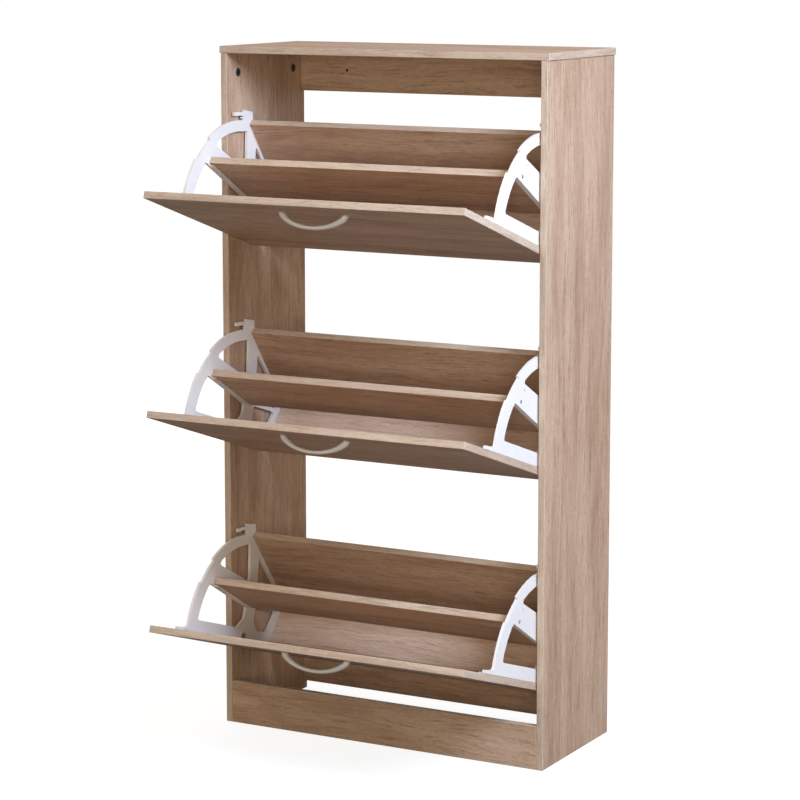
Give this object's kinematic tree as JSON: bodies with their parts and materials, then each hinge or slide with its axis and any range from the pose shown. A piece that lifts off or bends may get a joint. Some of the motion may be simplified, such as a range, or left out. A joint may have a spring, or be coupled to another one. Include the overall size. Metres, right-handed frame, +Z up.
{
  "type": "shoe cabinet",
  "caption": "Tall narrow open-backed shoe cabinet in sawn-oak board with tilt-out flaps, each with a divider, sloping boards, white flip brackets and a bow handle.",
  "frame": {"origin": "middle of the plinth's underside, on the floor", "axes": "+X to the cabinet's right as its user faces it, +Y from the front towards the back, +Z up"},
  "size_m": [0.625, 0.5227, 1.19],
  "materials": {
    "oak_board": "satin sawn-oak foil on chipboard",
    "bracket_plastic": "satin moulded white",
    "handle_metal": "satin silver",
    "zinc_fitting": "bright zinc plate"
  },
  "bodies": {
    "carcass": {"side_panel_left": "oak_board", "side_panel_right": "oak_board", "top_panel": "oak_board", "plinth": "oak_board", "rear_rail_top": "oak_board", "rear_rail_bottom": "oak_board", "top_cam_left_front": "zinc_fitting", "top_cam_left_rear": "zinc_fitting", "top_cam_right_front": "zinc_fitting", "top_cam_right_rear": "zinc_fitting", "plinth_cam_left": "zinc_fitting", "plinth_cam_right": "zinc_fitting", "rear_rail_top_cam_left": "zinc_fitting", "rear_rail_top_cam_right": "zinc_fitting", "rear_rail_bottom_cam_left": "zinc_fitting", "rear_rail_bottom_cam_right": "zinc_fitting", "lower_pivot_pin_left": "zinc_fitting", "lower_pivot_pin_right": "zinc_fitting", "lower_stop_stud_left": "zinc_fitting", "lower_stop_stud_right": "zinc_fitting", "middle_pivot_pin_left": "zinc_fitting", "middle_pivot_pin_right": "zinc_fitting", "middle_stop_stud_left": "zinc_fitting", "middle_stop_stud_right": "zinc_fitting", "upper_pivot_pin_left": "zinc_fitting", "upper_pivot_pin_right": "zinc_fitting", "upper_stop_stud_left": "zinc_fitting", "upper_stop_stud_right": "zinc_fitting"},
    "lower_flap": {"lower_front_panel": "oak_board", "lower_divider_board": "oak_board", "lower_back_board": "oak_board", "lower_floor_board": "oak_board", "lower_bracket_left": "bracket_plastic", "lower_bracket_right": "bracket_plastic", "lower_handle": "handle_metal", "lower_handle_screw_left": "zinc_fitting", "lower_handle_screw_right": "zinc_fitting"},
    "middle_flap": {"middle_front_panel": "oak_board", "middle_divider_board": "oak_board", "middle_back_board": "oak_board", "middle_floor_board": "oak_board", "middle_bracket_left": "bracket_plastic", "middle_bracket_right": "bracket_plastic", "middle_handle": "handle_metal", "middle_handle_screw_left": "zinc_fitting", "middle_handle_screw_right": "zinc_fitting"},
    "upper_flap": {"upper_front_panel": "oak_board", "upper_divider_board": "oak_board", "upper_back_board": "oak_board", "upper_floor_board": "oak_board", "upper_bracket_left": "bracket_plastic", "upper_bracket_right": "bracket_plastic", "upper_handle": "handle_metal", "upper_handle_screw_left": "zinc_fitting", "upper_handle_screw_right": "zinc_fitting"}
  },
  "joints": [
    {"name": "lower_flap_hinge", "type": "hinge", "parent": "carcass", "child": "lower_flap", "pos_m": [0, 0.015, 0.152], "axis": [1, 0, 0], "range_deg": [-72, 0]},
    {"name": "middle_flap_hinge", "type": "hinge", "parent": "carcass", "child": "middle_flap", "pos_m": [0, 0.015, 0.51667], "axis": [1, 0, 0], "range_deg": [-72, 0]},
    {"name": "upper_flap_hinge", "type": "hinge", "parent": "carcass", "child": "upper_flap", "pos_m": [0, 0.015, 0.88133], "axis": [1, 0, 0], "range_deg": [-72, 0]}
  ]
}
